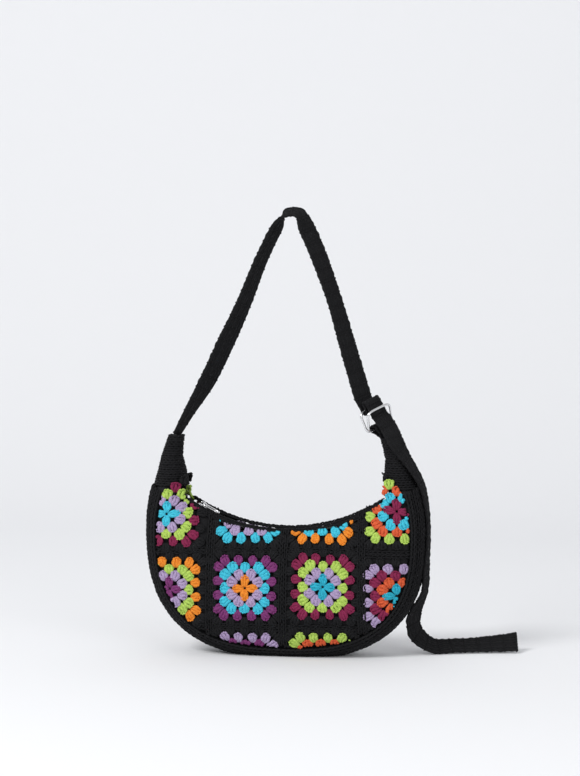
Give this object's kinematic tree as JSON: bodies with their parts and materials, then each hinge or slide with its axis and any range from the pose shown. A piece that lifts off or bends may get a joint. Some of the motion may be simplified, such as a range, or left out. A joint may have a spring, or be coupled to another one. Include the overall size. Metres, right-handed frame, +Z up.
{
  "type": "crochet shoulder bag",
  "caption": "Half moon shoulder bag of black crochet with multicolour granny squares, a zip along the hollow top edge and a flat crochet strap run through two wire rings.",
  "frame": {"origin": "middle of the flat base, where the bag stands", "axes": "+Z up along the strap, +Y from front to back, +X to the right seen from the front"},
  "size_m": [0.3876, 0.0878, 0.4675],
  "materials": {
    "lining_cloth": "plain woven lining",
    "steel": "polished silver",
    "yarn_black": "matt crochet yarn",
    "yarn_coral": "matt crochet yarn",
    "yarn_cyan": "matt crochet yarn",
    "yarn_lavender": "matt crochet yarn",
    "yarn_lime": "matt crochet yarn",
    "yarn_orange": "matt crochet yarn",
    "yarn_purple": "matt crochet yarn",
    "yarn_raspberry": "matt crochet yarn",
    "yarn_teal": "matt crochet yarn",
    "zip_tape": "woven tape",
    "zip_teeth": "pale metal teeth"
  },
  "bodies": {
    "bag": {"back_bottom_2": "yarn_lavender", "back_bottom_3": "yarn_lime", "back_crochet": "yarn_black", "back_middle_1": "yarn_orange", "back_middle_2": "yarn_purple", "back_middle_3": "yarn_raspberry", "back_middle_4": "yarn_lavender", "back_top_1": "yarn_raspberry", "back_top_2": "yarn_cyan", "back_top_3": "yarn_orange", "back_top_4": "yarn_lime", "edge_band": "yarn_black", "front_bottom_2_round_3": "yarn_purple", "front_bottom_2_round_4": "yarn_lavender", "front_bottom_3_round_3": "yarn_coral", "front_bottom_3_round_4": "yarn_lime", "front_crochet": "yarn_black", "front_middle_1_round_1": "yarn_purple", "front_middle_1_round_2": "yarn_lavender", "front_middle_1_round_3": "yarn_lime", "front_middle_1_round_4": "yarn_orange", "front_middle_2_round_1": "yarn_orange", "front_middle_2_round_2": "yarn_lavender", "front_middle_2_round_3": "yarn_cyan", "front_middle_2_round_4": "yarn_purple", "front_middle_3_round_1": "yarn_teal", "front_middle_3_round_2": "yarn_lavender", "front_middle_3_round_3": "yarn_lime", "front_middle_3_round_4": "yarn_raspberry", "front_middle_4_round_1": "yarn_teal", "front_middle_4_round_2": "yarn_coral", "front_middle_4_round_3": "yarn_raspberry", "front_middle_4_round_4": "yarn_lavender", "front_top_1_round_1": "yarn_cyan", "front_top_1_round_2": "yarn_lavender", "front_top_1_round_3": "yarn_lime", "front_top_1_round_4": "yarn_raspberry", "front_top_2_round_3": "yarn_lavender", "front_top_2_round_4": "yarn_cyan", "front_top_3_round_3": "yarn_cyan", "front_top_3_round_4": "yarn_orange", "front_top_4_round_1": "yarn_raspberry", "front_top_4_round_2": "yarn_cyan", "front_top_4_round_3": "yarn_coral", "front_top_4_round_4": "yarn_lime", "lining": "lining_cloth", "ring_tab": "yarn_black", "sleeve_left": "yarn_black", "sleeve_right": "yarn_black", "strap": "yarn_black", "zip_tape_back": "zip_tape", "zip_tape_front": "zip_tape", "zip_teeth_back": "zip_teeth", "zip_teeth_front": "zip_teeth"},
    "slider": {"zip_slider": "steel"},
    "puller": {"zip_puller": "steel"},
    "upper_ring": {"ring_upper": "steel"},
    "lower_ring": {"ring_lower": "steel"}
  },
  "joints": [
    {"name": "zip_run", "type": "hinge", "parent": "bag", "child": "slider", "pos_m": [0, 0, 0.3165], "axis": [0, -1, 0], "range_deg": [0, 57]},
    {"name": "puller_turn", "type": "hinge", "parent": "slider", "child": "puller", "pos_m": [-0.08747, 0, 0.15553], "axis": [0, -1, 0], "range_deg": [0, 178]},
    {"name": "upper_ring_swing", "type": "hinge", "parent": "bag", "child": "upper_ring", "pos_m": [0.09708, 0.00126, 0.23941], "axis": [0.6636, 0.6691, 0.3344], "range_deg": [-2.5, 2.5]},
    {"name": "lower_ring_swing", "type": "hinge", "parent": "bag", "child": "lower_ring", "pos_m": [0.09912, -0.00126, 0.24044], "axis": [0.6636, 0.6691, 0.3344], "range_deg": [-2.5, 60]}
  ]
}
